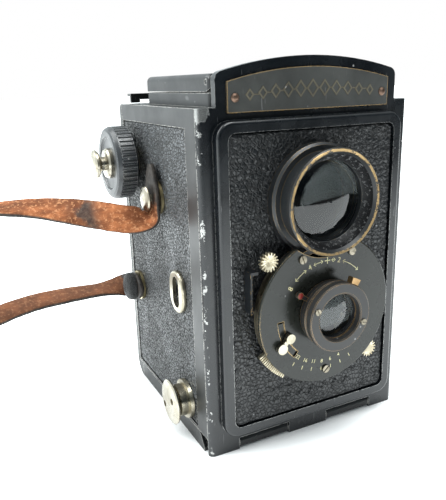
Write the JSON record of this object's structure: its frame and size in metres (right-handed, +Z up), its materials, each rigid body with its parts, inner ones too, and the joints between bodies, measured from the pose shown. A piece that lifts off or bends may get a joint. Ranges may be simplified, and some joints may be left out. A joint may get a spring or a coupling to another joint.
{
  "type": "twin lens reflex camera",
  "caption": "Metal box camera with a brilliant finder lens above a leaf shutter, folding hood, hinged back, winding knob and leather strap.",
  "frame": {"origin": "middle of the tripod socket, in the plane the camera stands on", "axes": "+Z up, the lenses look along -Y, +X is to the right as seen from the front"},
  "size_m": [0.2563, 0.0941, 0.1248],
  "materials": {
    "black_lacquer": "satin black stove lacquer on pressed metal, worn bright at edges",
    "side_lacquer": "satin black lacquer",
    "leatherette": "black grained leather covering",
    "nickel": "nickel plate, polished, lightly tarnished",
    "brass": "bare brass",
    "shutter_black": "black enamel over brass, brass at worn rims",
    "inner_black": "matt black inside lacquer",
    "glass": "coatless optical glass",
    "red_glass": "ruby window",
    "mirror": "silvered mirror",
    "steel": "bright steel",
    "spool_black": "black metal spool",
    "strap_leather": "brown leather, suede side out",
    "strap_grain": "dark grain side of the strap"
  },
  "bodies": {
    "camera_body": {"front_plate": "black_lacquer", "hinge_pin": "steel", "name_plate": "shutter_black", "name_plate_rivets": "brass", "front_leather": "leatherette", "left_wall": "side_lacquer", "left_leather": "leatherette", "right_wall": "side_lacquer", "right_leather": "leatherette", "side_eyelet": "nickel", "strap_studs": "nickel", "strap_washers": "brass", "top_plate": "side_lacquer", "hood_base": "side_lacquer", "finder_barrel": "shutter_black", "finder_front_lens": "glass", "finder_partition": "inner_black", "finder_mirror": "mirror", "finder_field_lens": "glass", "light_box": "inner_black", "film_gate": "inner_black", "spool_bushes": "nickel", "tripod_bridge": "inner_black", "tripod_bush": "nickel", "shutter_housing": "shutter_black", "shutter_disc": "shutter_black", "disc_screws": "nickel", "release_guard": "shutter_black", "taking_rear_lens": "glass", "strap_ends": "strap_grain", "strap": "strap_leather"},
    "back_door": {"back_door": "side_lacquer", "door_floor": "side_lacquer", "back_leather": "leatherette", "window_bezel": "shutter_black", "red_window": "red_glass", "pressure_springs": "steel"},
    "pressure_plate": {"pressure_plate": "inner_black"},
    "window_cover": {"window_cover": "shutter_black"},
    "door_latch": {"door_latch": "side_lacquer"},
    "hood_lid": {"hood_lid": "side_lacquer"},
    "hood_wing_left": {"hood_wing_left": "inner_black"},
    "hood_wing_right": {"hood_wing_right": "inner_black"},
    "winder": {"winding_knob": "shutter_black", "knob_collar": "nickel", "take_up_spool": "spool_black"},
    "winder_stud": {"winder_stud": "nickel"},
    "supply_knob": {"supply_knob": "nickel"},
    "film_roller_lower": {"film_roller_lower": "steel"},
    "film_roller_upper": {"film_roller_upper": "steel"},
    "release_lever": {"release_lever": "nickel"},
    "speed_lever": {"speed_lever": "nickel"},
    "aperture_ring": {"aperture_ring": "nickel", "aperture_pointer": "nickel"},
    "shutter_blade_right": {"shutter_blade_right": "steel"},
    "shutter_blade_left": {"shutter_blade_left": "steel"},
    "focus_ring": {"focus_ring": "shutter_black", "ring_screws": "nickel", "focus_tab": "brass", "taking_front_lens": "glass"}
  },
  "joints": [
    {"name": "door_hinge", "type": "hinge", "parent": "camera_body", "child": "back_door", "pos_m": [0, -0.04, 0.002], "axis": [-1, 0, 0], "range_deg": [0, 90]},
    {"name": "pressure_plate_give", "type": "slide", "parent": "back_door", "child": "pressure_plate", "axis": [0, 1, 0], "range_m": [0, 0.0009], "stiffness_N_per_m": 600},
    {"name": "window_cover_slide", "type": "slide", "parent": "back_door", "child": "window_cover", "axis": [0, 0, 1], "range_m": [0, 0.0105]},
    {"name": "latch_pivot", "type": "hinge", "parent": "camera_body", "child": "door_latch", "pos_m": [0, 0.024, 0.1126], "axis": [1, 0, 0], "range_deg": [0, 35]},
    {"name": "hood_lid_hinge", "type": "hinge", "parent": "camera_body", "child": "hood_lid", "pos_m": [0, -0.0366, 0.118], "axis": [1, 0, 0], "range_deg": [0, 92]},
    {"name": "wing_left_hinge", "type": "hinge", "parent": "hood_lid", "child": "hood_wing_left", "pos_m": [-0.0302, -0.012, 0.1184], "axis": [0, 1, 0], "range_deg": [0, 92]},
    {"name": "wing_right_hinge", "type": "hinge", "parent": "hood_lid", "child": "hood_wing_right", "pos_m": [0.0302, -0.012, 0.1184], "axis": [0, -1, 0], "range_deg": [0, 92]},
    {"name": "winder_spin", "type": "hinge", "parent": "camera_body", "child": "winder", "pos_m": [0, 0.0157, 0.0908], "axis": [1, 0, 0], "continuous": true},
    {"name": "winder_pull", "type": "slide", "parent": "winder", "child": "winder_stud", "axis": [-1, 0, 0], "range_m": [0, 0.0045]},
    {"name": "supply_pull", "type": "slide", "parent": "camera_body", "child": "supply_knob", "axis": [-1, 0, 0], "range_m": [0, 0.005]},
    {"name": "lower_roller_spin", "type": "hinge", "parent": "camera_body", "child": "film_roller_lower", "pos_m": [0, 0.0232, 0.01], "axis": [1, 0, 0], "continuous": true},
    {"name": "upper_roller_spin", "type": "hinge", "parent": "camera_body", "child": "film_roller_upper", "pos_m": [0, 0.0244, 0.078], "axis": [1, 0, 0], "continuous": true},
    {"name": "release_press", "type": "hinge", "parent": "camera_body", "child": "release_lever", "pos_m": [0, -0.0495, 0.0474], "axis": [0, -1, 0], "range_deg": [0, 18], "stiffness_Nm_per_rad": 0.02},
    {"name": "blade_right_swing", "type": "hinge", "parent": "camera_body", "child": "shutter_blade_right", "pos_m": [0.0034, -0.0473, 0.0338], "axis": [0, 1, 0], "range_deg": [0, 36]},
    {"name": "blade_left_swing", "type": "hinge", "parent": "camera_body", "child": "shutter_blade_left", "pos_m": [-0.0034, -0.0481, 0.0338], "axis": [0, -1, 0], "range_deg": [0, 36]},
    {"name": "speed_turn", "type": "hinge", "parent": "camera_body", "child": "speed_lever", "pos_m": [0, -0.0482, 0.0474], "axis": [0, -1, 0], "range_deg": [-18, 18]},
    {"name": "aperture_turn", "type": "hinge", "parent": "camera_body", "child": "aperture_ring", "pos_m": [0, -0.0469, 0.0474], "axis": [0, -1, 0], "range_deg": [-14, 14]},
    {"name": "focus_turn", "type": "hinge", "parent": "camera_body", "child": "focus_ring", "pos_m": [0, -0.056, 0.0474], "axis": [0, -1, 0], "range_deg": [-76, 6]}
  ],
  "couplings": [
    {"joint": "wing_left_hinge", "follows": "hood_lid_hinge", "ratio": 1},
    {"joint": "wing_right_hinge", "follows": "hood_lid_hinge", "ratio": 1},
    {"joint": "blade_right_swing", "follows": "release_press", "ratio": 2},
    {"joint": "blade_left_swing", "follows": "release_press", "ratio": 2}
  ]
}
